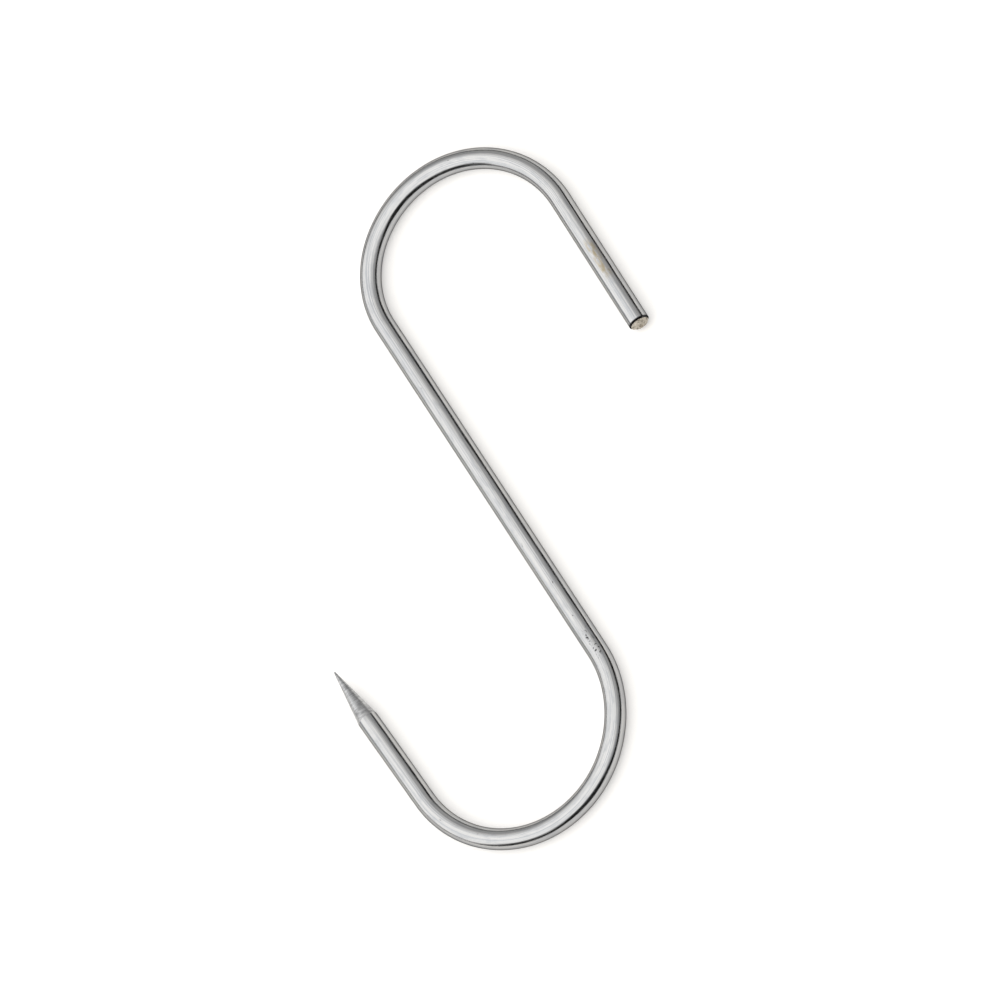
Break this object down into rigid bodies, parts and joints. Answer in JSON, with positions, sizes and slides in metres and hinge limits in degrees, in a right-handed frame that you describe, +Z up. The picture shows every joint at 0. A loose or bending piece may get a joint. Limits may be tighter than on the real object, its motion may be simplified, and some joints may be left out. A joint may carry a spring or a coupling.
{
  "type": "s hook",
  "caption": "S hook bent from round steel wire, with a large open bend at each end, one end cut square and the other ground to a long point.",
  "frame": {"origin": "middle of the hook's box, on the surface that it lies on; the wire's centreline is one wire radius above it", "axes": "+Y along the line of pull, from the lower bend to the upper bend; +Z up from the surface, square to the plane of the hook; +X towards the cut end of the upper bend"},
  "size_m": [0.1024, 0.1996, 0.006],
  "materials": {
    "steel_wire": "smooth drawn wire, nearly bright, with faint lengthwise draw lines; the point is ground matt and the cut end is sheared"
  },
  "bodies": {
    "root": {"hook": "steel_wire"}
  },
  "joints": []
}
